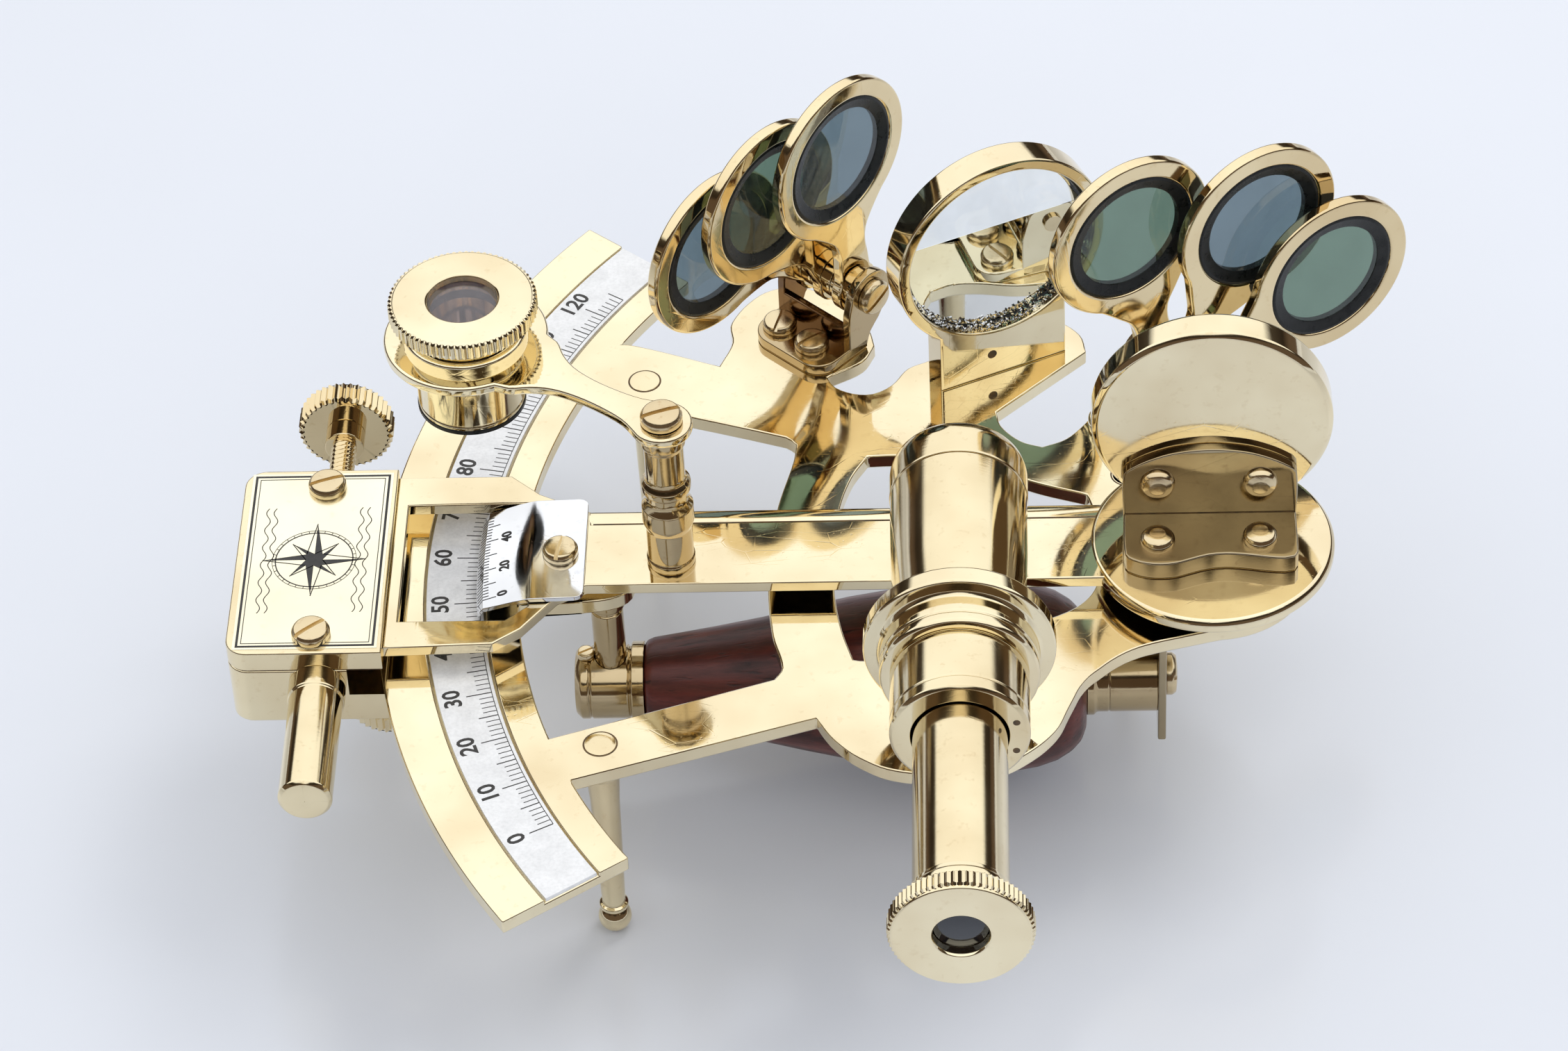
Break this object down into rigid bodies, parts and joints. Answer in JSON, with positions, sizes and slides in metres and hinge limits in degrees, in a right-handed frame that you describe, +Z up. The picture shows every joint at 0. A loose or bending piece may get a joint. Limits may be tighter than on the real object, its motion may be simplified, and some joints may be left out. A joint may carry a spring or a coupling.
{
  "type": "nautical sextant",
  "caption": "Small brass nautical sextant on ball feet: graduated arc, swinging index arm and mirror, horizon glass, tinted swing shades, telescope, magnifier and wooden grip.",
  "frame": {"origin": "centre of the bounding box in X and Y, on the plane of the three ball feet in Z", "axes": "+X from the graduated arc towards the index-arm pivot, +Y along the telescope line of sight away from the eyepiece, +Z up from the feet to the mirrors"},
  "size_m": [0.141, 0.1344, 0.0714],
  "materials": {
    "brass_polished": "polished and lacquered",
    "brass_satin": "satin, turned",
    "scale_silver": "silvered white with black graduations",
    "vernier_silver": "bright plated",
    "wood_dark": "dark mahogany, lacquered",
    "mirror_silver": "front mirror",
    "glass_clear": "clear",
    "glass_loupe": "clear, faint mauve",
    "glass_dark": "dark",
    "glass_green": "green tint",
    "glass_grey": "blue-grey tint"
  },
  "bodies": {
    "frame_body": {"frame": "brass_polished", "scale_arc": "scale_silver", "leg_front": "brass_polished", "leg_rear": "brass_polished", "leg_right": "brass_polished", "handle_grip": "wood_dark", "handle_left_ferrule": "brass_polished", "handle_left_pillar": "brass_polished", "handle_left_screw": "brass_satin", "handle_right_plate": "brass_polished", "handle_right_ferrule": "brass_polished", "handle_right_screw": "brass_satin", "telescope_holder": "brass_polished", "telescope_tube": "brass_polished", "objective_cell": "brass_polished", "objective_lens": "glass_clear", "horizon_mount": "brass_polished", "horizon_glass": "glass_clear", "horizon_shade_bracket": "brass_polished", "horizon_shade_pin": "brass_satin", "index_shade_bracket": "brass_polished", "index_shade_pin": "brass_satin", "horizon_bracket_screw_1": "brass_satin", "horizon_bracket_screw_2": "brass_satin"},
    "draw_body": {"draw_tube": "brass_polished", "eyepiece_cap": "brass_polished", "eyepiece_lens": "glass_dark"},
    "horizon_shade_body_1": {"horizon_shade_1": "brass_polished", "horizon_shade_glass_1": "glass_grey"},
    "horizon_shade_body_2": {"horizon_shade_2": "brass_polished", "horizon_shade_glass_2": "glass_green"},
    "horizon_shade_body_3": {"horizon_shade_3": "brass_polished", "horizon_shade_glass_3": "glass_grey"},
    "index_shade_body_1": {"index_shade_1": "brass_polished", "index_shade_glass_1": "glass_green"},
    "index_shade_body_2": {"index_shade_2": "brass_polished", "index_shade_glass_2": "glass_grey"},
    "index_shade_body_3": {"index_shade_3": "brass_polished", "index_shade_glass_3": "glass_green"},
    "arm_body": {"index_arm": "brass_polished", "pivot_screw": "brass_satin", "index_mirror_cup": "brass_polished", "index_mirror_glass": "mirror_silver", "index_mirror_bracket": "brass_polished", "vernier_plate": "vernier_silver", "vernier_screw": "brass_satin", "magnifier_post": "brass_polished", "magnifier_screw": "brass_satin", "tangent_block": "brass_polished", "tangent_cover": "brass_polished", "cover_screw_1": "brass_satin", "cover_screw_2": "brass_satin", "tangent_sleeve": "brass_polished"},
    "loupe_arm_body": {"magnifier_arm": "brass_polished"},
    "loupe_body": {"magnifier_barrel": "brass_polished", "magnifier_eyepiece": "brass_polished", "magnifier_lens": "glass_loupe"},
    "tangent_screw_body": {"tangent_screw": "brass_polished"},
    "clamp_screw_body": {"clamp_screw": "brass_polished"}
  },
  "joints": [
    {"name": "index_arm_swing", "type": "hinge", "parent": "frame_body", "child": "arm_body", "pos_m": [0.04567, 0.00416, 0.0309], "axis": [0, 0, 1], "range_deg": [-15, 28.7]},
    {"name": "tangent_screw_turn", "type": "hinge", "parent": "arm_body", "child": "tangent_screw_body", "pos_m": [-0.05993, 0.03016, 0.0301], "axis": [0, 1, 0], "continuous": true},
    {"name": "clamp_screw_turn", "type": "hinge", "parent": "arm_body", "child": "clamp_screw_body", "pos_m": [-0.05173, -0.00784, 0.0229], "axis": [0, 0, 1], "continuous": true},
    {"name": "magnifier_swing", "type": "hinge", "parent": "arm_body", "child": "loupe_arm_body", "pos_m": [-0.01853, 0.00216, 0.0558], "axis": [0, 0, 1], "range_deg": [-8, 60]},
    {"name": "magnifier_focus", "type": "slide", "parent": "loupe_arm_body", "child": "loupe_body", "axis": [0, 0, 1], "range_m": [-0.0018, 0.002]},
    {"name": "draw_tube_slide", "type": "slide", "parent": "frame_body", "child": "draw_body", "axis": [0, 1, 0], "range_m": [-0.004, 0.016]},
    {"name": "horizon_shade_1_swing", "type": "hinge", "parent": "frame_body", "child": "horizon_shade_body_1", "pos_m": [0.00287, 0.04616, 0.0389], "axis": [0.7373, -0.6756, 0], "range_deg": [-68, 10]},
    {"name": "horizon_shade_2_swing", "type": "hinge", "parent": "frame_body", "child": "horizon_shade_body_2", "pos_m": [0.00047, 0.04835, 0.0389], "axis": [0.7373, -0.6756, 0], "range_deg": [-93, 8]},
    {"name": "horizon_shade_3_swing", "type": "hinge", "parent": "frame_body", "child": "horizon_shade_body_3", "pos_m": [-0.00192, 0.05055, 0.0389], "axis": [0.7373, -0.6756, 0], "range_deg": [-115, 5]},
    {"name": "index_shade_1_swing", "type": "hinge", "parent": "frame_body", "child": "index_shade_body_1", "pos_m": [0.04367, 0.02566, 0.0389], "axis": [0.515, -0.8572, 0], "range_deg": [-10, 127]},
    {"name": "index_shade_2_swing", "type": "hinge", "parent": "frame_body", "child": "index_shade_body_2", "pos_m": [0.04192, 0.02857, 0.0389], "axis": [0.515, -0.8572, 0], "range_deg": [-10, 93]},
    {"name": "index_shade_3_swing", "type": "hinge", "parent": "frame_body", "child": "index_shade_body_3", "pos_m": [0.04017, 0.03149, 0.0389], "axis": [0.515, -0.8572, 0], "range_deg": [-5, 50]}
  ]
}
